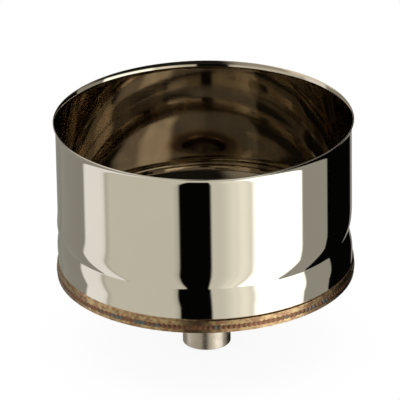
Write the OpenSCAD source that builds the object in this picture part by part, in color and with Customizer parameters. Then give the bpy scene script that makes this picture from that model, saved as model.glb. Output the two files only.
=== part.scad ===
// Drain cone for a single-wall stainless flue: a rolled sleeve with a flared socket lip and a
// rolled crease, closed below by a shallow conical pan that empties through a plain spout.
// The origin is the centre of the spout's lower end, +Z is up, and all sizes are in millimetres.

/* [Sleeve] */
// Outer diameter of the sleeve
sleeve_d = 152; // [120:1:260]
// Thickness of the sleeve's sheet
sleeve_wall = 0.6; // [0.4:0.1:1]
// Height of the cup, from the sleeve's bottom edge to the top of its lip
cup_h = 85; // [60:1:160]

/* [Socket lip] */
// Radius to which the lip is bent, on its outer face
lip_bend_r = 6; // [3:0.5:12]
// Angle by which the lip leans outward at its edge
lip_angle = 38; // [15:1:60]

/* [Crease] */
// Height of the crease line above the sleeve's bottom edge
crease_h = 23.2; // [20:0.2:30]
// Depth of the crease below the outer face of the sleeve
crease_depth = 1.4; // [0.6:0.1:1.8]
// Angle of each flank of the crease where they meet
crease_angle = 20; // [16:1:35]
// Radius of the fold at the bottom of the crease, on its outer face
crease_fold_r = 0.8; // [0.3:0.1:2]
// How far the band below the crease stands out past the sleeve
band_bulge = 0.25; // [0:0.05:0.4]

/* [Bottom seat] */
// Height of the straight part of the seat, which is widened to take the pan
seat_h = 6.2; // [4:0.2:8]
// How far the seat is widened past the band above it
seat_step = 0.7; // [0.5:0.05:1]
// Radius of both bends of the seat's shoulder, on their hollow side
seat_bend_r = 0.4; // [0.3:0.1:0.8]

/* [Drain pan] */
// Thickness of the pan's sheet
pan_wall = 0.6; // [0.4:0.1:1]
// Slope of the pan's floor down to the drain, in degrees
pan_slope = 2; // [0:0.5:3]
// Inside radius of the bend between the pan's floor and its rim
pan_bend_r = 1; // [0.8:0.1:1.5]
// Gap between the pan's bend and the shoulder that it is pushed up against
pan_seat_gap = 0.05; // [0.02:0.01:0.3]
// Length of the straight part of the neck drawn down from the floor
neck_h = 3; // [2:0.5:8]
// Radius of the bend between the floor and the neck, on its underside
neck_bend_r = 1.5; // [1:0.1:2.5]
// Gap all round between the neck and the bore of the spout
neck_gap = 0.1; // [0.05:0.05:0.4]

/* [Drain spout] */
// Outer diameter of the spout
spout_d = 25; // [18:1:40]
// Wall of the spout
spout_wall = 1; // [0.8:0.1:2]
// Length of the spout that shows below the sleeve's bottom edge
spout_drop = 41; // [20:1:80]
// Width of the small chamfer at the outer edge of the spout's lower end
spout_chamfer = 0.3; // [0.1:0.1:0.5]
// Width of the bevel at the outer edge of the spout's upper end, cut for the weld
spout_bevel = 0.5; // [0.2:0.1:0.7]

/* [Welds] */
// Width of the seam weld that joins the seat and the pan's rim
rim_weld_w = 2.4; // [1.6:0.2:3.4]
// How far the seam weld stands out from the seat
rim_weld_proud = 0.3; // [0.1:0.05:0.5]
// Height of the seam weld's middle above the sleeve's bottom edge
rim_weld_h = 3; // [2:0.1:3.6]
// Leg of the spout's fillet weld along the underside of the pan
spout_weld_leg = 2; // [1:0.1:3]
// Depth to which the spout's weld comes down over its upper end
spout_weld_drop = 1; // [0.5:0.1:2]

/* [Hidden] */
$fn = 144;
// Largest turn of one straight step along an arc, in degrees
arc_step = 6;

// Sleeve: heights of its bottom edge, lip and crease, and radii of its outer faces
cup_z = spout_drop;
sleeve_r = sleeve_d / 2;
lip_z = cup_z + cup_h - (lip_bend_r + sleeve_wall) * sin(lip_angle);
crease_z = cup_z + crease_h;
band_r = sleeve_r + band_bulge;
seat_r = band_r + seat_step;

// Crease: each flank is an arc, tangent to the wall beyond it and to the fold
upper_flank_r = crease_depth / (1 - cos(crease_angle)) - crease_fold_r;
lower_flank_r = (crease_depth + band_bulge) / (1 - cos(crease_angle)) - crease_fold_r;
upper_flank_z = crease_z + (upper_flank_r + crease_fold_r) * sin(crease_angle);
lower_flank_z = crease_z - (lower_flank_r + crease_fold_r) * sin(crease_angle);
crease_fold_x = sleeve_r - crease_depth + crease_fold_r;

// Seat: its shoulder is two equal bends, one against the other
shoulder_reach = 2 * seat_bend_r + sleeve_wall;
shoulder_angle = acos(1 - seat_step / shoulder_reach);
seat_top_z = cup_z + seat_h;
shoulder_top_z = seat_top_z + shoulder_reach * sin(shoulder_angle);
shoulder_x = band_r + seat_bend_r;

// Pan: its rim lines the seat, and its bend stops against the shoulder
pan_rim_r = seat_r - sleeve_wall;
pan_corner_x = pan_rim_r - pan_wall - pan_bend_r;
corner_to_shoulder = pan_bend_r + pan_wall + pan_seat_gap + seat_bend_r + sleeve_wall;
pan_corner_z = shoulder_top_z - sqrt(pow(corner_to_shoulder, 2) - pow(shoulder_x - pan_corner_x, 2));
floor_turn = 90 + pan_slope;

// Neck: it is drawn down from the pan's floor into the bore of the spout
spout_r = spout_d / 2;
spout_bore_r = spout_r - spout_wall;
neck_r = spout_bore_r - neck_gap;
neck_bend_x = neck_r + neck_bend_r;
bend_change = pan_bend_r - neck_bend_r;
floor_run = (pan_corner_x - bend_change * sin(pan_slope) - neck_bend_x) / cos(pan_slope);
neck_bend_z = pan_corner_z + bend_change * cos(pan_slope) - floor_run * sin(pan_slope);
neck_end_z = neck_bend_z - neck_h;
spout_weld_z = neck_bend_z - spout_weld_drop;

// Circle on which the seam weld's rounded face lies
rim_weld_r = (pow(rim_weld_w / 2, 2) + pow(rim_weld_proud, 2)) / (2 * rim_weld_proud);

// Bends of each sheet, along its outer or upper face. A bend is its centre, its radius on that
// face, how the radius changes with depth into the sheet, and the angles that it runs between
sleeve_bends = [
    [[seat_r - sleeve_wall - seat_bend_r, seat_top_z], seat_bend_r + sleeve_wall, -1, 0, shoulder_angle],
    [[shoulder_x, shoulder_top_z], seat_bend_r, 1, 180 + shoulder_angle, 180],
    [[band_r - lower_flank_r, lower_flank_z], lower_flank_r, -1, 0, crease_angle],
    [[crease_fold_x, crease_z], crease_fold_r, 1, 180 + crease_angle, 180 - crease_angle],
    [[sleeve_r - upper_flank_r, upper_flank_z], upper_flank_r, -1, -crease_angle, 0],
    [[sleeve_r + lip_bend_r, lip_z], lip_bend_r, 1, 180, 180 - lip_angle]
];
pan_bends = [
    [[pan_corner_x, pan_corner_z], pan_bend_r + pan_wall, -1, 0, floor_turn],
    [[neck_bend_x, neck_bend_z], neck_bend_r + pan_wall, -1, floor_turn, 180]
];

// Point at a distance and an angle from the origin
function polar(r, a) = [r * cos(a), r * sin(a)];

// Points along an arc, both ends included
function arc(centre, r, a0, a1) =
    let (steps = ceil(abs(a1 - a0) / arc_step))
    [for (i = [0:steps]) centre + polar(r, a0 + (a1 - a0) * i / steps)];

// Points in order, without those that repeat the one before
function distinct(points) =
    [for (i = [0:len(points) - 1]) if (i == 0 || norm(points[i] - points[i - 1]) > 0.001) points[i]];

function reversed(points) = [for (i = [len(points) - 1:-1:0]) points[i]];

// Points along a bent sheet, at a depth below the face that its bends are given on
function bent_line(bends, depth) =
    distinct([for (b = bends) for (p = arc(b[0], b[1] + b[2] * depth, b[3], b[4])) p]);

// Bent sheet turned round the axis: its outline follows the bends along one face and comes
// back along the other, past the corners of its straight ends if it has them
module turned_sheet(bends, wall, first_end, last_end) {
    rotate_extrude()
        polygon(concat(
            first_end,
            bent_line(bends, 0),
            last_end,
            reversed(bent_line(bends, wall))
        ));
}

module sleeve() {
    color("silver")
        turned_sheet(sleeve_bends, sleeve_wall, [[seat_r - sleeve_wall, cup_z], [seat_r, cup_z]], []);
}

module drain_pan() {
    color("darkgray")
        turned_sheet(
            pan_bends,
            pan_wall,
            [[pan_rim_r - pan_wall, cup_z], [pan_rim_r, cup_z]],
            [[neck_r - pan_wall, neck_end_z], [neck_r, neck_end_z]]
        );
}

module drain_spout() {
    color("tan")
        rotate_extrude()
            polygon([
                [spout_bore_r, 0],
                [spout_r - spout_chamfer, 0],
                [spout_r, spout_chamfer],
                [spout_r, spout_weld_z],
                [spout_r - spout_bevel, neck_bend_z],
                [spout_bore_r, neck_bend_z]
            ]);
}

// Seam weld: a low rounded bead all round the outside of the seat
module rim_weld() {
    color("saddlebrown")
        rotate_extrude()
            intersection() {
                translate([seat_r + rim_weld_proud - rim_weld_r, cup_z + rim_weld_h])
                    circle(r = rim_weld_r);
                translate([seat_r, cup_z])
                    square([rim_weld_r, seat_h]);
            }
}

// Fillet weld: it fills the groove between the neck's bend and the bevelled upper end of the
// spout, and spreads along the underside of the pan
module spout_weld() {
    underside = arc([neck_bend_x, neck_bend_z], neck_bend_r, 180, floor_turn);
    groove_top = [for (p = underside) if (p.x >= spout_bore_r) p];
    outer_end = groove_top[len(groove_top) - 1] - polar(spout_weld_leg, 180 + pan_slope);
    color("rosybrown")
        rotate_extrude()
            polygon(concat(
                [[spout_r, spout_weld_z]],
                [[spout_r - spout_bevel, neck_bend_z], [spout_bore_r, neck_bend_z]],
                groove_top,
                [outer_end]
            ));
}

sleeve();
drain_pan();
drain_spout();
rim_weld();
spout_weld();
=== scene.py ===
# Drain cone for a single-wall flue: a polished sleeve with a flared lip and a rolled crease,
# a pressed pan, a satin spout and the two welds that join them, dressed over the CAD frame.
# Lengths are in metres and the origin is the centre of the spout's lower end, as in the frame.

import math

import bpy
from bpy.props import FloatProperty, FloatVectorProperty, IntProperty, PointerProperty
from mathutils import Matrix, Vector


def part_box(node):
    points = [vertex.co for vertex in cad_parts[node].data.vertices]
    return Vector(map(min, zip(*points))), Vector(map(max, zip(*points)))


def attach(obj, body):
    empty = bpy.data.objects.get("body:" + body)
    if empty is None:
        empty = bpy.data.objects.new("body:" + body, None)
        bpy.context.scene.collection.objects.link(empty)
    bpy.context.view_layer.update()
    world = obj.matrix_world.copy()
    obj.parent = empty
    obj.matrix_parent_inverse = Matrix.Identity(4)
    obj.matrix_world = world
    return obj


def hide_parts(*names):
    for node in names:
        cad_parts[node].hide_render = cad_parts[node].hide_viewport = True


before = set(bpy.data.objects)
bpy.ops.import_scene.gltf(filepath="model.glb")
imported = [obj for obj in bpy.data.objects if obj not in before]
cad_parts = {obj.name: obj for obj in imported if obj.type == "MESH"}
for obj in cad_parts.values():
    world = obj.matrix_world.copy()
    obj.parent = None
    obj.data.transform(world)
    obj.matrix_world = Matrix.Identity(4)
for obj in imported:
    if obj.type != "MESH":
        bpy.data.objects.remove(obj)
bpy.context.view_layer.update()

bl_info = {
    "name": "Drain cone",
    "version": (1, 0, 0),
    "blender": (4, 5, 0),
    "location": "3D View > Sidebar > Drain cone",
    "description": "Models a flue's drain cone over its CAD frame, with its steels and a studio",
    "category": "Object",
}

MM = 0.001
TURN = 2 * math.pi
QUARTER = math.pi / 2

# Places that the frame gives: the foot and top of the cup, and the spout's outer radius
CUP_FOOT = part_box("sleeve")[0].z
CUP_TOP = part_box("sleeve")[1].z
SPOUT_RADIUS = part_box("drain_spout")[1].x

# How finely a turned piece is drawn and spun
ARC_TURN = math.radians(5)
ARC_CHORD = 1.0 * MM
ROW_SPACING = 3.0 * MM
SUPPORT_ROW = 0.25 * MM
SPIN_STEPS = 320
SAME_POINT = 0.01 * MM
SMOOTH_ANGLE = math.radians(40)


def length(name, description, default):
    return FloatProperty(name=name, description=description, default=default, unit="LENGTH", precision=5)


def angle(name, description, degrees):
    return FloatProperty(name=name, description=description, default=math.radians(degrees), subtype="ANGLE")


def factor(name, description, default):
    return FloatProperty(name=name, description=description, default=default, min=0, max=1)


def colour(name, description, default):
    return FloatVectorProperty(name=name, description=description, default=default, subtype="COLOR", size=3)


# Sizes and finishes

class SleeveSizes(bpy.types.PropertyGroup):
    diameter: length("Diameter", "Outer diameter of the sleeve", 152 * MM)
    wall: length("Sheet", "Thickness of the sleeve's sheet", 0.6 * MM)
    lip_bend: length("Lip bend", "Radius of the lip's bend, on its outer face", 6 * MM)
    lip_lean: angle("Lip lean", "Angle by which the lip leans outward at its edge", 38)
    crease_height: length("Crease height", "Height of the crease above the cup's foot", 23.2 * MM)
    crease_depth: length("Crease depth", "Depth of the crease, taken all round", 1.4 * MM)
    crease_flank: angle("Crease flank", "Slope of the crease's flanks at its fold", 20)
    crease_fold: length("Crease fold", "Radius of the crease's fold, on its outer face", 0.8 * MM)
    crease_offset: length("Crease offset", "How far the rolled crease is off centre", 0.8 * MM)
    crease_reach: length("Crease reach", "Height over which the offset fades out", 13 * MM)
    band_bulge: length("Band bulge", "How far the band below the crease stands out", 0.25 * MM)
    seat_height: length("Seat height", "Height of the straight part of the seat", 6.2 * MM)
    seat_step: length("Seat step", "How far the seat is wider than the band", 0.7 * MM)
    seat_bend: length("Seat bend", "Radius of the seat's shoulder bends", 0.4 * MM)
    edge_round: length("Edge round", "Rounding of the sheet's cut edges", 0.12 * MM)


class PanSizes(bpy.types.PropertyGroup):
    wall: length("Sheet", "Thickness of the pan's sheet", 0.6 * MM)
    slope: angle("Floor slope", "Fall of the floor towards the drain", 2)
    bend: length("Rim bend", "Inside radius of the bend between floor and rim", 1 * MM)
    seat_gap: length("Seat gap", "Gap between the pan's bend and the sleeve's shoulder", 0.05 * MM)
    neck_length: length("Neck length", "Length of the straight neck", 3 * MM)
    neck_bend: length("Neck bend", "Radius of the bend above the neck, below", 1.5 * MM)
    neck_gap: length("Neck gap", "Gap between the neck and the spout's bore", 0.1 * MM)


class SpoutSizes(bpy.types.PropertyGroup):
    radius: length("Radius", "Outer radius of the spout", SPOUT_RADIUS)
    wall: length("Wall", "Wall of the spout", 1 * MM)
    chamfer: length("Chamfer", "Chamfer at the spout's lower end", 0.3 * MM)
    bevel: length("Weld bevel", "Bevel at the spout's upper end", 0.5 * MM)


class WeldSizes(bpy.types.PropertyGroup):
    seam_width: length("Seam width", "Width of the seam bead round the seat", 2.4 * MM)
    seam_proud: length("Seam height", "How far the seam bead stands out", 0.3 * MM)
    seam_level: length("Seam level", "Height of the seam bead above the cup's foot", 3 * MM)
    seam_ripples: IntProperty(name="Seam ripples", description="Ripples round the seam", default=186)
    fillet_leg: length("Fillet leg", "Leg of the fillet along the pan", 2 * MM)
    fillet_drop: length("Fillet drop", "How far the fillet comes down the spout", 1 * MM)
    fillet_crown: length("Fillet crown", "Bulge of the fillet's face", 0.2 * MM)
    fillet_ripples: IntProperty(name="Fillet ripples", description="Ripples round the spout", default=48)
    ripple_depth: length("Ripple depth", "Depth of the ripples", 0.16 * MM)


class SteelLooks(bpy.types.PropertyGroup):
    outside: colour("Outside", "Polished steel of the outer wall", (0.60, 0.57, 0.50))
    # Inner wall's colour: darker and browner than the outside, which is painted shade for the light bounced
    # round inside the cup
    inside: colour("Inside", "Rolled steel of the inner wall", (0.56, 0.50, 0.41))
    pan: colour("Pan", "Pressed steel of the pan", (0.58, 0.53, 0.45))
    spout: colour("Spout", "Satin steel of the spout", (0.42, 0.37, 0.31))
    straw: colour("Straw tint", "Lightest heat tint beside the welds", (0.44, 0.32, 0.17))
    brown: colour("Brown tint", "Heat tint at the welds", (0.16, 0.09, 0.05))
    rust: colour("Rust tint", "Redder knots along the welds", (0.22, 0.10, 0.06))
    blued: colour("Blued tint", "Blue-grey patches along the welds", (0.10, 0.12, 0.12))
    outside_swell: length("Outside waves", "Height of the slow waves outside", 0.02 * MM)
    inside_swell: length("Inside waves", "Height of the slow waves inside", 0.05 * MM)
    polish: factor("Polish", "Roughness of the polished wall", 0.03)
    satin: factor("Satin", "Roughness of the satin spout", 0.3)


class StudioSizes(bpy.types.PropertyGroup):
    lens: FloatProperty(name="Lens", description="Focal length in millimetres", default=450)
    distance: length("Distance", "Distance of the camera", 2.578)
    height_angle: angle("Height angle", "Angle of the camera above the horizon", 24.3)
    roll: angle("Roll", "Roll of the camera", 0.94)
    shift_right: length("Shift right", "How far the cup is right of the picture's middle", 2.33 * MM)
    shift_up: length("Shift up", "How far the cup is above the picture's middle", 3.10 * MM)
    floor: length("Floor", "Side of the square floor", 8)
    shadow: factor("Shadow", "How dark the soft shadow on the floor is", 0.1)
    shadow_reach: length("Shadow reach", "How far away the shadow's makers may be", 60 * MM)


# Selecting and drawing

def edit(piece, kind="VERT"):
    """Enters edit mode on one piece, with nothing in it selected"""
    bpy.ops.object.select_all(action="DESELECT")
    piece.select_set(True)
    bpy.context.view_layer.objects.active = piece
    bpy.ops.object.mode_set(mode="EDIT")
    bpy.ops.mesh.select_mode(type=kind)
    bpy.ops.mesh.select_all(action="DESELECT")


def pick(piece, kind, wanted):
    """Selects the vertices or faces for which wanted is true, and stays in edit mode"""
    edit(piece, kind)
    bpy.ops.object.mode_set(mode="OBJECT")
    parts = piece.data.polygons if kind == "FACE" else piece.data.vertices
    for part in parts:
        part.select = wanted(part)
    bpy.ops.object.mode_set(mode="EDIT")


def arc(centre, radius, first, last):
    """Points along an arc in the plane of the outline, both ends included"""
    turn = abs(last - first)
    steps = max(1, math.ceil(max(turn / ARC_TURN, turn * radius / ARC_CHORD)))
    points = []
    for i in range(steps + 1):
        a = first + (last - first) * i / steps
        points.append(Vector((centre[0] + radius * math.cos(a), centre[1] + radius * math.sin(a))))
    return points


def with_rows(points):
    """The same line with rows along its straight stretches, close together at their ends"""
    line = [points[0]]
    for start, end in zip(points, points[1:]):
        span = (end - start).length
        if span < SAME_POINT:
            continue
        if span > 2 * ARC_CHORD:
            rows = math.ceil(span / ROW_SPACING)
            places = [SUPPORT_ROW / span] + [i / rows for i in range(1, rows)] + [1 - SUPPORT_ROW / span]
            line += [start.lerp(end, place) for place in places]
        line.append(end)
    return line


def bent_face(bends, depth):
    """Points on a bent sheet at a depth below the face that its bends are given on"""
    face = []
    for centre, radius, deeper, first, last in bends:
        face += arc(centre, radius + deeper * depth, first, last)
    return face


def sheet_outline(bends, wall, first_end, last_end):
    """Closed outline of a bent sheet: along one face, over its end and back along the other"""
    back = bent_face(bends, wall)
    back.reverse()
    return first_end + bent_face(bends, 0) + last_end + back + first_end[:1]


def turned(name, outline, steps):
    """Draws a closed outline point by point and spins it round the upright axis"""
    line = with_rows(outline)
    bpy.ops.object.select_all(action="DESELECT")
    bpy.ops.mesh.primitive_plane_add(size=MM, location=(line[0].x, 0, line[0].y))
    piece = bpy.context.object
    piece.name = name
    piece.data.name = name
    bpy.ops.object.transform_apply(location=True, rotation=True, scale=True)
    edit(piece)
    bpy.ops.mesh.select_all(action="SELECT")
    bpy.ops.mesh.merge(type="CENTER")
    for here, there in zip(line, line[1:]):
        step = there - here
        bpy.ops.mesh.extrude_vertices_move(TRANSFORM_OT_translate={"value": (step.x, 0, step.y)})
    bpy.ops.mesh.select_all(action="SELECT")
    bpy.ops.mesh.remove_doubles(threshold=SAME_POINT)
    bpy.ops.object.mode_set(mode="OBJECT")
    lathe = piece.modifiers.new("Lathe", "SCREW")
    lathe.angle = TURN
    lathe.steps = steps
    lathe.render_steps = steps
    lathe.use_merge_vertices = True
    lathe.merge_threshold = SAME_POINT
    bpy.ops.object.modifier_apply(modifier=lathe.name)
    edit(piece)
    bpy.ops.mesh.select_all(action="SELECT")
    bpy.ops.mesh.normals_make_consistent(inside=False)
    bpy.ops.object.mode_set(mode="OBJECT")
    return piece


def round_edges(piece, width):
    """Rounds the sharp edges of a piece and smooths the rest"""
    bpy.ops.object.select_all(action="DESELECT")
    piece.select_set(True)
    bpy.context.view_layer.objects.active = piece
    bevel = piece.modifiers.new("Rounded edges", "BEVEL")
    bevel.width = width
    bevel.segments = 2
    bevel.limit_method = "ANGLE"
    bevel.angle_limit = SMOOTH_ANGLE
    bpy.ops.object.modifier_apply(modifier=bevel.name)
    bpy.ops.object.shade_smooth_by_angle(angle=SMOOTH_ANGLE)


def fit_to_frame(piece, node):
    """Puts a finished piece on the frame in place of its CAD node"""
    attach(piece, "root")
    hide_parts(node)


# Outlines, from the same sizes as the CAD part

def sleeve_bends(s):
    """Bends of the sleeve's outer face, from the seat up to the lip"""
    outer = s.diameter / 2
    band = outer + s.band_bulge
    seat = band + s.seat_step
    reach = 2 * s.seat_bend + s.wall
    turn = math.acos(1 - s.seat_step / reach)
    seat_top = CUP_FOOT + s.seat_height
    shoulder = seat_top + reach * math.sin(turn)
    crease = CUP_FOOT + s.crease_height
    flank = s.crease_flank
    upper = s.crease_depth / (1 - math.cos(flank)) - s.crease_fold
    lower = (s.crease_depth + s.band_bulge) / (1 - math.cos(flank)) - s.crease_fold
    upper_z = crease + (upper + s.crease_fold) * math.sin(flank)
    lower_z = crease - (lower + s.crease_fold) * math.sin(flank)
    lip = CUP_TOP - (s.lip_bend + s.wall) * math.sin(s.lip_lean)
    half = math.pi
    return seat, [
        ((seat - s.wall - s.seat_bend, seat_top), s.seat_bend + s.wall, -1, 0, turn),
        ((band + s.seat_bend, shoulder), s.seat_bend, 1, half + turn, half),
        ((band - lower, lower_z), lower, -1, 0, flank),
        ((outer - s.crease_depth + s.crease_fold, crease), s.crease_fold, 1, half + flank, half - flank),
        ((outer - upper, upper_z), upper, -1, -flank, 0),
        ((outer + s.lip_bend, lip), s.lip_bend, 1, half, half - s.lip_lean),
    ]


def shoulder_corner(s):
    """Centre of the shoulder's upper bend, which the pan is pushed up against"""
    reach = 2 * s.seat_bend + s.wall
    turn = math.acos(1 - s.seat_step / reach)
    x = s.diameter / 2 + s.band_bulge + s.seat_bend
    return x, CUP_FOOT + s.seat_height + reach * math.sin(turn)


def pan_bends(s, p, t):
    """Bends of the pan's upper face, from its rim to its neck"""
    seat = s.diameter / 2 + s.band_bulge + s.seat_step
    rim = seat - s.wall
    corner_x = rim - p.wall - p.bend
    shoulder_x, shoulder_z = shoulder_corner(s)
    between = p.bend + p.wall + p.seat_gap + s.seat_bend + s.wall
    corner_z = shoulder_z - math.sqrt(between ** 2 - (shoulder_x - corner_x) ** 2)
    neck = t.radius - t.wall - p.neck_gap
    neck_x = neck + p.neck_bend
    change = p.bend - p.neck_bend
    run = (corner_x - change * math.sin(p.slope) - neck_x) / math.cos(p.slope)
    neck_z = corner_z + change * math.cos(p.slope) - run * math.sin(p.slope)
    bends = [
        ((corner_x, corner_z), p.bend + p.wall, -1, 0, QUARTER + p.slope),
        ((neck_x, neck_z), p.neck_bend + p.wall, -1, QUARTER + p.slope, math.pi),
    ]
    return rim, neck, neck_x, neck_z, bends


# Pieces

class DRAINCONE_OT_sleeve(bpy.types.Operator):
    """Draws the sleeve's sheet, spins it and sets its crease a little off centre"""
    bl_idname = "drain_cone.sleeve"
    bl_label = "Polished sleeve"

    def execute(self, context):
        s = context.scene.drain_cone_sleeve
        seat, bends = sleeve_bends(s)
        foot = [Vector((seat - s.wall, CUP_FOOT)), Vector((seat, CUP_FOOT))]
        sleeve = turned("polished_sleeve", sheet_outline(bends, s.wall, foot, []), SPIN_STEPS)
        crease = CUP_FOOT + s.crease_height
        pick(sleeve, "VERT", lambda v: abs(v.co.z - crease) < SUPPORT_ROW)
        bpy.ops.transform.translate(
            value=(-s.crease_offset, 0, 0),
            use_proportional_edit=True,
            proportional_edit_falloff="SMOOTH",
            proportional_size=s.crease_reach,
        )
        bpy.ops.object.mode_set(mode="OBJECT")
        round_edges(sleeve, s.edge_round)
        sleeve.data.materials.append(polished_steel(context))
        sleeve.data.materials.append(rolled_steel_and_painted_shade(context))
        # The inward faces take the inner steel, whose darker, browner colour is painted shade
        pick(sleeve, "FACE", lambda f: f.normal.xy.dot(f.center.xy) < 0)
        sleeve.active_material_index = 1
        bpy.ops.object.material_slot_assign()
        bpy.ops.object.mode_set(mode="OBJECT")
        fit_to_frame(sleeve, "sleeve")
        return {"FINISHED"}


class DRAINCONE_OT_pan(bpy.types.Operator):
    """Draws the pan's sheet, from its rim over its floor to its neck, and spins it"""
    bl_idname = "drain_cone.pan"
    bl_label = "Pressed pan"

    def execute(self, context):
        scene = context.scene
        p = scene.drain_cone_pan
        rim, neck, neck_x, neck_z, bends = pan_bends(scene.drain_cone_sleeve, p, scene.drain_cone_spout)
        foot = [Vector((rim - p.wall, CUP_FOOT)), Vector((rim, CUP_FOOT))]
        low = neck_z - p.neck_length
        neck_end = [Vector((neck - p.wall, low)), Vector((neck, low))]
        pan = turned("pressed_pan", sheet_outline(bends, p.wall, foot, neck_end), SPIN_STEPS)
        round_edges(pan, scene.drain_cone_sleeve.edge_round)
        pan.data.materials.append(pressed_steel(context))
        fit_to_frame(pan, "drain_pan")
        return {"FINISHED"}


class DRAINCONE_OT_spout(bpy.types.Operator):
    """Draws the spout's wall with its chamfer and weld bevel, and spins it"""
    bl_idname = "drain_cone.spout"
    bl_label = "Satin spout"

    def execute(self, context):
        scene = context.scene
        t = scene.drain_cone_spout
        neck_z = pan_bends(scene.drain_cone_sleeve, scene.drain_cone_pan, t)[3]
        bore = t.radius - t.wall
        weld = neck_z - scene.drain_cone_weld.fillet_drop
        outline = [
            Vector((bore, 0)),
            Vector((t.radius - t.chamfer, 0)),
            Vector((t.radius, t.chamfer)),
            Vector((t.radius, weld)),
            Vector((t.radius - t.bevel, neck_z)),
            Vector((bore, neck_z)),
            Vector((bore, 0)),
        ]
        spout = turned("satin_spout", outline, SPIN_STEPS // 2)
        round_edges(spout, scene.drain_cone_sleeve.edge_round)
        spout.data.materials.append(satin_steel(context))
        fit_to_frame(spout, "drain_spout")
        return {"FINISHED"}


def ripple(piece, ripples, columns, depth, on_face):
    """Sinks the weld's face between its ripples, a column of points at a time"""
    def column(v):
        turn = math.atan2(v.co.y, v.co.x) / TURN * ripples * columns
        return round(turn) % columns

    for step in range(1, columns):
        sink = depth * (1 - math.cos(TURN * step / columns)) / 2
        pick(piece, "VERT", lambda v: column(v) == step and on_face(v))
        bpy.ops.transform.shrink_fatten(value=-sink)
        bpy.ops.object.mode_set(mode="OBJECT")


RIPPLE_COLUMNS = 6


class DRAINCONE_OT_seam(bpy.types.Operator):
    """Draws the seam bead, spins it round the seat and sets its ripples"""
    bl_idname = "drain_cone.seam"
    bl_label = "Seam bead"

    def execute(self, context):
        scene = context.scene
        s = scene.drain_cone_sleeve
        w = scene.drain_cone_weld
        seat = s.diameter / 2 + s.band_bulge + s.seat_step
        middle = CUP_FOOT + w.seam_level
        radius = ((w.seam_width / 2) ** 2 + w.seam_proud ** 2) / (2 * w.seam_proud)
        half = math.asin(w.seam_width / 2 / radius)
        crown = (seat + w.seam_proud - radius, middle)
        face = arc(crown, radius, -half, half)
        back = seat - SUPPORT_ROW
        outline = [Vector((back, face[0].y))] + face + [Vector((back, face[-1].y))]
        outline.append(outline[0])
        seam = turned("seam_bead", outline, w.seam_ripples * RIPPLE_COLUMNS)
        edge = seat + SAME_POINT
        ripple(seam, w.seam_ripples, RIPPLE_COLUMNS, w.ripple_depth, lambda v: v.co.xy.length > edge)
        round_edges(seam, SAME_POINT)
        seam.data.materials.append(weld_metal(context))
        fit_to_frame(seam, "rim_weld")
        return {"FINISHED"}


class DRAINCONE_OT_fillet(bpy.types.Operator):
    """Draws the spout's fillet weld, spins it under the pan and sets its ripples"""
    bl_idname = "drain_cone.fillet"
    bl_label = "Fillet bead"

    def execute(self, context):
        scene = context.scene
        p = scene.drain_cone_pan
        t = scene.drain_cone_spout
        w = scene.drain_cone_weld
        rim, neck, neck_x, neck_z, bends = pan_bends(scene.drain_cone_sleeve, p, t)
        bore = t.radius - t.wall
        groove = [q for q in arc((neck_x, neck_z), p.neck_bend, math.pi, QUARTER + p.slope) if q.x >= bore]
        along = Vector((math.cos(p.slope), math.sin(p.slope)))
        outer = groove[-1] + along * w.fillet_leg
        low = Vector((t.radius, neck_z - w.fillet_drop))
        chord = low - outer
        bulge = Vector((-chord.y, chord.x)).normalized()
        if bulge.x < 0:
            bulge = -bulge
        face = []
        for i in range(9):
            share = i / 8
            face.append(outer.lerp(low, share) + bulge * w.fillet_crown * math.sin(math.pi * share))
        inner = [Vector((t.radius - t.bevel, neck_z)), Vector((bore, neck_z))]
        outline = face + inner + groove
        outline.append(outline[0])
        fillet = turned("fillet_bead", outline, w.fillet_ripples * RIPPLE_COLUMNS)
        def on_face(v):
            return v.co.xy.length > t.radius + SAME_POINT and v.co.z < outer.y - SAME_POINT

        ripple(fillet, w.fillet_ripples, RIPPLE_COLUMNS, w.ripple_depth, on_face)
        round_edges(fillet, SAME_POINT)
        fillet.data.materials.append(weld_metal(context))
        fit_to_frame(fillet, "spout_weld")
        return {"FINISHED"}


# Nodes

class Wiring:
    """Adds nodes to a tree and joins them up"""

    def __init__(self, tree):
        self.tree = tree

    def add(self, kind, inputs, **settings):
        node = self.tree.nodes.new("ShaderNode" + kind)
        for name, value in settings.items():
            setattr(node, name, value)
        for name, value in inputs.items():
            self.plug(node.inputs[name], value)
        return node

    def plug(self, socket, value):
        if isinstance(value, bpy.types.NodeSocket):
            self.tree.links.new(value, socket)
        else:
            socket.default_value = value

    def sum(self, operation, *values):
        node = self.add("Math", dict(enumerate(values)), operation=operation)
        return node.outputs[0]

    def blend(self, share, low, high):
        """Mixes two colours, the second one over the first"""
        node = self.tree.nodes.new("ShaderNodeMix")
        node.data_type = "RGBA"
        for place, value in ((0, share), (6, low), (7, high)):
            self.plug(node.inputs[place], value)
        return node.outputs[2]

    def ramp(self, value, start, end, low=0.0, high=1.0):
        """Goes smoothly from low to high as the value goes from start to end"""
        ends = {"Value": value, "From Min": start, "From Max": end, "To Min": low, "To Max": high}
        return self.add("MapRange", ends, interpolation_type="SMOOTHSTEP").outputs[0]

    def window(self, value, start, end, blur):
        """1 while the value is between start and end, and 0 beyond them"""
        rise = self.ramp(value, start - blur, start + blur)
        fall = self.ramp(value, end - blur, end + blur, 1.0, 0.0)
        return self.sum("MULTIPLY", rise, fall)

    def noise(self, place, scale, detail, stretch=(1, 1, 1)):
        """Noise on the piece's own coordinates, with a number of patches to the metre"""
        spread = self.add("Mapping", {"Vector": place, "Scale": stretch}).outputs[0]
        inputs = {"Vector": spread, "Scale": scale, "Detail": detail}
        return self.add("TexNoise", inputs).outputs[0]

    def bump(self, height, distance, normal=None):
        inputs = {"Height": height, "Distance": distance, "Strength": 1.0}
        if normal is not None:
            inputs["Normal"] = normal
        return self.add("Bump", inputs).outputs[0]


def colour4(base, share=1.0):
    return (base[0] * share, base[1] * share, base[2] * share, 1)


# Steels

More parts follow.
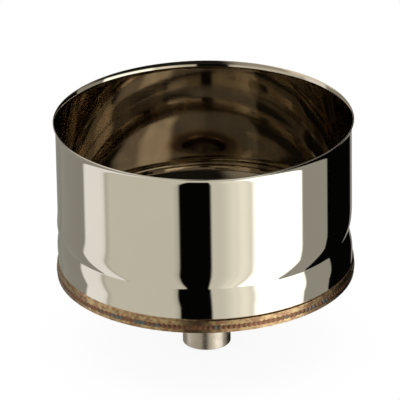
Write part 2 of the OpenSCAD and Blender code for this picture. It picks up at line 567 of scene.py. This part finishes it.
def metal(name):
    """A bare metal, with its wiring, its shader and the piece's own coordinates"""
    material = bpy.data.materials.new(name)
    material.use_nodes = True
    wires = Wiring(material.node_tree)
    shader = material.node_tree.nodes["Principled BSDF"]
    shader.inputs["Metallic"].default_value = 1
    place = wires.add("TexCoord", {}).outputs["Object"]
    height = wires.add("SeparateXYZ", {"Vector": place}).outputs["Z"]
    return material, wires, shader, place, height


def wavy(wires, place, size, swell):
    """Slow waves of a rolled sheet: size is their length and swell their height, in metres"""
    return wires.bump(wires.noise(place, 1 / size, 1), swell)


def polishing(wires, place, normal, swell):
    """Fine lines left round the axis by the polishing wheel"""
    lines = wires.noise(place, 60, 2, (1, 1, 40))
    return lines, wires.bump(lines, swell, normal)


def polished_steel(context):
    looks = context.scene.drain_cone_looks
    s = context.scene.drain_cone_sleeve
    material, wires, shader, place, height = metal("polished_steel")
    waves = wavy(wires, place, 45 * MM, looks.outside_swell)
    lines, normal = polishing(wires, place, waves, 0.0004 * MM)
    cloud = wires.noise(place, 35, 3)
    clean = wires.blend(cloud, colour4(looks.outside, 0.97), colour4(looks.outside, 1.03))
    mottle = wires.ramp(wires.noise(place, 420, 4), 0.35, 0.65)
    tint = wires.blend(mottle, colour4(looks.brown, 1.6), colour4(looks.straw))
    top = shoulder_corner(s)[1]
    heated = wires.ramp(height, top + 0.3 * MM, top - 0.2 * MM)
    base = wires.blend(heated, clean, tint)
    sheen = wires.ramp(lines, 0.3, 0.7, looks.polish * 0.7, looks.polish * 1.4)
    rough = wires.sum("MAXIMUM", sheen, wires.sum("MULTIPLY", heated, 0.26))
    wires.plug(shader.inputs["Base Color"], base)
    wires.plug(shader.inputs["Roughness"], rough)
    wires.plug(shader.inputs["Normal"], normal)
    return material


def rolled_steel_and_painted_shade(context):
    looks = context.scene.drain_cone_looks
    material, wires, shader, place, height = metal("rolled_steel_and_painted_shade")
    waves = wavy(wires, place, 38 * MM, looks.inside_swell)
    lines, normal = polishing(wires, place, waves, 0.0006 * MM)
    cloud = wires.ramp(wires.noise(place, 60, 4), 0.3, 0.7)
    # Painted shade: the inner wall's colour is darker and browner than the outer wall's, for the light
    # bounced round inside the cup; its rougher finish is the sheet's own
    base = wires.blend(cloud, colour4(looks.inside, 0.9), colour4(looks.inside, 1.05))
    sheen = wires.ramp(lines, 0.3, 0.7, looks.polish, looks.polish * 2.5)
    wires.plug(shader.inputs["Base Color"], base)
    wires.plug(shader.inputs["Roughness"], sheen)
    wires.plug(shader.inputs["Normal"], normal)
    return material


def pressed_steel(context):
    looks = context.scene.drain_cone_looks
    material, wires, shader, place, height = metal("pressed_steel")
    waves = wavy(wires, place, 50 * MM, looks.inside_swell)
    flat = wires.add("VectorMath", {0: place, 1: (1, 1, 0)}, operation="MULTIPLY").outputs[0]
    reach = wires.add("VectorMath", {0: flat}, operation="LENGTH").outputs["Value"]
    rings = wires.add("CombineXYZ", {"X": reach, "Z": height}).outputs[0]
    lines = wires.noise(rings, 2500, 2)
    normal = wires.bump(lines, 0.0004 * MM, waves)
    cloud = wires.ramp(wires.noise(place, 60, 4), 0.3, 0.7)
    clean = wires.blend(cloud, colour4(looks.pan, 0.92), colour4(looks.pan, 1.04))
    ragged = wires.sum("MULTIPLY_ADD", wires.noise(place, 120, 3), 4 * MM, reach)
    straw = wires.ramp(ragged, 25 * MM, 18 * MM)
    brown = wires.ramp(ragged, 20.5 * MM, 16.5 * MM)
    tinted = wires.blend(straw, clean, colour4(looks.straw))
    tinted = wires.blend(brown, tinted, colour4(looks.brown))
    sheen = wires.ramp(lines, 0.3, 0.7, looks.polish, looks.polish * 2.5)
    rough = wires.sum("MAXIMUM", sheen, wires.sum("MULTIPLY", straw, 0.25))
    wires.plug(shader.inputs["Base Color"], tinted)
    wires.plug(shader.inputs["Roughness"], rough)
    wires.plug(shader.inputs["Normal"], normal)
    return material


def satin_steel(context):
    looks = context.scene.drain_cone_looks
    material, wires, shader, place, height = metal("satin_steel")
    lines = wires.noise(place, 90, 3, (1, 1, 30))
    normal = wires.bump(lines, 0.002 * MM)
    cloud = wires.ramp(wires.noise(place, 180, 4), 0.3, 0.7)
    base = wires.blend(cloud, colour4(looks.spout, 0.88), colour4(looks.spout, 1.08))
    sheen = wires.ramp(lines, 0.3, 0.7, looks.satin * 0.8, looks.satin * 1.2)
    wires.plug(shader.inputs["Base Color"], base)
    wires.plug(shader.inputs["Roughness"], sheen)
    wires.plug(shader.inputs["Normal"], normal)
    return material


def weld_metal(context):
    looks = context.scene.drain_cone_looks
    material, wires, shader, place, height = metal("weld_metal")
    knots = wires.ramp(wires.noise(place, 260, 3), 0.4, 0.6)
    blued = wires.ramp(wires.noise(place, 150, 2), 0.55, 0.7)
    base = wires.blend(knots, colour4(looks.brown), colour4(looks.rust))
    base = wires.blend(blued, base, colour4(looks.blued))
    grit = wires.noise(place, 1800, 3)
    wires.plug(shader.inputs["Base Color"], base)
    wires.plug(shader.inputs["Roughness"], wires.ramp(grit, 0.3, 0.7, 0.28, 0.5))
    wires.plug(shader.inputs["Normal"], wires.bump(grit, 0.02 * MM))
    return material


# Studio

# The light tent, seen only in reflections. Each sheet or flag is given by where it starts and
# ends round the cup, in degrees from the front and positive to the right, the blur of its
# edges, its strength and its tint. Later ones are painted over earlier ones.
COOL = (1.0, 1.0, 0.98)
WARM = (1.0, 0.97, 0.86)
TAN = (1.0, 0.94, 0.84)

SIDE_SHEETS = (
    ("left rear sheet", -150, -109, 1.5, 0.36, WARM),
    ("left sheet", -108, -84, 2.0, 1.15, COOL),
    ("front left sheet", -84, -20, 6.0, 0.80, WARM),
    ("front gap", -20, 4.5, 1.2, 0.002, COOL),
    ("front right sheet", 5, 24, 1.2, 0.85, WARM),
    ("soft box edge", 20, 40, 10.0, 1.3, WARM),
    ("soft box", 38, 82, 3.0, 2.2, COOL),
    ("right flag", 82, 111, 0.8, 0.42, WARM),
    ("right gap", 111, 160, 1.0, 0.002, COOL),
)
ROOF_SHEETS = (
    ("roof left", -128, -70, 8.0, 1.1, TAN),
    ("roof front left", -70, -30, 14.0, 0.5, TAN),
    ("roof front", -22, 96, 8.0, 0.02, TAN),
    ("roof right", 100, 180, 8.0, 0.2, TAN),
)
BACKDROP = 0.3
ROOF_STARTS = 14
ROOF_FULL = 24
ROOF_DIM = 0.28
FLOOR_GLOW = 0.8
FLOOR_STARTS = -62
FLOOR_FULL = -72


def light_tent(world):
    """Paints the sheets round the cup, and shows plain white to the camera"""
    wires = Wiring(world.node_tree)
    world.node_tree.nodes.clear()
    direction = wires.add("TexCoord", {}).outputs["Generated"]
    parts = wires.add("SeparateXYZ", {"Vector": direction}).outputs
    forward = wires.sum("MULTIPLY", parts["Y"], -1.0)
    round_cup = wires.sum("MULTIPLY", wires.sum("ARCTAN2", parts["X"], forward), math.degrees(1))
    above = wires.sum("MULTIPLY", wires.sum("ARCSINE", parts["Z"]), math.degrees(1))
    sides = colour4(WARM, BACKDROP)
    for name, start, end, blur, strength, tint in SIDE_SHEETS:
        sides = wires.blend(wires.window(round_cup, start, end, blur), sides, colour4(tint, strength))
    roof = colour4(TAN, ROOF_DIM)
    for name, start, end, blur, strength, tint in ROOF_SHEETS:
        roof = wires.blend(wires.window(round_cup, start, end, blur), roof, colour4(tint, strength))
    tent = wires.blend(wires.ramp(above, ROOF_STARTS, ROOF_FULL), sides, roof)
    tent = wires.blend(wires.ramp(above, FLOOR_STARTS, FLOOR_FULL), tent, colour4(WARM, FLOOR_GLOW))
    to_camera = wires.add("LightPath", {}).outputs["Is Camera Ray"]
    shown = wires.blend(to_camera, tent, (1, 1, 1, 1))
    light = wires.add("Background", {"Color": shown}).outputs[0]
    wires.add("OutputWorld", {"Surface": light})


def pale_floor(context):
    """A white floor that the camera sees from above, with a faint soft shadow on it"""
    studio = context.scene.drain_cone_studio
    bpy.ops.object.select_all(action="DESELECT")
    bpy.ops.mesh.primitive_plane_add(size=studio.floor, location=(0, 0, 0))
    floor = context.object
    floor.name = "studio_floor"
    material = bpy.data.materials.new("pale_floor")
    material.use_nodes = True
    material.node_tree.nodes.clear()
    wires = Wiring(material.node_tree)
    open_sky = wires.add("AmbientOcclusion", {"Distance": studio.shadow_reach}, samples=8).outputs["AO"]
    shade = wires.ramp(open_sky, 0.0, 1.0, 1 - studio.shadow, 1.0)
    glow = wires.add("Emission", {"Color": (1, 1, 1, 1), "Strength": shade}).outputs[0]
    clear = wires.add("BsdfTransparent", {}).outputs[0]
    below = wires.add("NewGeometry", {}).outputs["Backfacing"]
    surface = wires.add("MixShader", {0: below, 1: glow, 2: clear}).outputs[0]
    wires.add("OutputMaterial", {"Surface": surface})
    floor.data.materials.append(material)
    floor.visible_glossy = False
    floor.visible_diffuse = False
    floor.visible_shadow = False


class DRAINCONE_OT_studio(bpy.types.Operator):
    """Makes the camera, the floor and the light tent"""
    bl_idname = "drain_cone.studio"
    bl_label = "Studio"

    def execute(self, context):
        studio = context.scene.drain_cone_studio
        e = studio.height_angle
        back = Vector((0, -math.cos(e), math.sin(e)))
        turn = (-back).to_track_quat("-Z", "Y").to_matrix().to_4x4() @ Matrix.Rotation(-studio.roll, 4, "Z")
        right = turn.col[0].to_3d()
        up = turn.col[1].to_3d()
        aim = Vector((0, 0, (CUP_FOOT + CUP_TOP) / 2))
        place = aim + back * studio.distance - right * studio.shift_right - up * studio.shift_up
        bpy.ops.object.camera_add()
        camera = context.object
        camera.name = "photograph_camera"
        camera.matrix_world = Matrix.Translation(place) @ turn
        camera.data.lens = studio.lens
        camera.data.clip_end = 100
        context.scene.camera = camera
        pale_floor(context)
        world = bpy.data.worlds.new("light_tent")
        world.use_nodes = True
        light_tent(world)
        context.scene.world = world
        context.scene.view_settings.view_transform = "Standard"
        context.scene.cycles.max_bounces = 24
        context.scene.cycles.glossy_bounces = 24
        return {"FINISHED"}


GROUPS = {
    "drain_cone_sleeve": SleeveSizes,
    "drain_cone_pan": PanSizes,
    "drain_cone_spout": SpoutSizes,
    "drain_cone_weld": WeldSizes,
    "drain_cone_looks": SteelLooks,
    "drain_cone_studio": StudioSizes,
}

OPERATORS = (
    DRAINCONE_OT_sleeve,
    DRAINCONE_OT_pan,
    DRAINCONE_OT_spout,
    DRAINCONE_OT_seam,
    DRAINCONE_OT_fillet,
    DRAINCONE_OT_studio,
)


class DRAINCONE_PT_panel(bpy.types.Panel):
    """Lists the drain cone's sizes and the steps that make it"""
    bl_idname = "DRAINCONE_PT_panel"
    bl_label = "Drain cone"
    bl_space_type = "VIEW_3D"
    bl_region_type = "UI"
    bl_category = "Drain cone"

    def draw(self, context):
        for step in OPERATORS:
            self.layout.operator(step.bl_idname)
        for name, group in GROUPS.items():
            box = self.layout.box()
            box.label(text=group.__name__)
            for prop in group.__annotations__:
                box.prop(getattr(context.scene, name), prop)


def register():
    for name, group in GROUPS.items():
        bpy.utils.register_class(group)
        setattr(bpy.types.Scene, name, PointerProperty(type=group))
    for step in OPERATORS:
        bpy.utils.register_class(step)
    bpy.utils.register_class(DRAINCONE_PT_panel)


def unregister():
    bpy.utils.unregister_class(DRAINCONE_PT_panel)
    for step in reversed(OPERATORS):
        bpy.utils.unregister_class(step)
    for name, group in GROUPS.items():
        delattr(bpy.types.Scene, name)
        bpy.utils.unregister_class(group)


def main():
    register()
    bpy.ops.drain_cone.sleeve()
    bpy.ops.drain_cone.pan()
    bpy.ops.drain_cone.spout()
    bpy.ops.drain_cone.seam()
    bpy.ops.drain_cone.fillet()
    bpy.ops.drain_cone.studio()


if __name__ == "__main__":
    main()
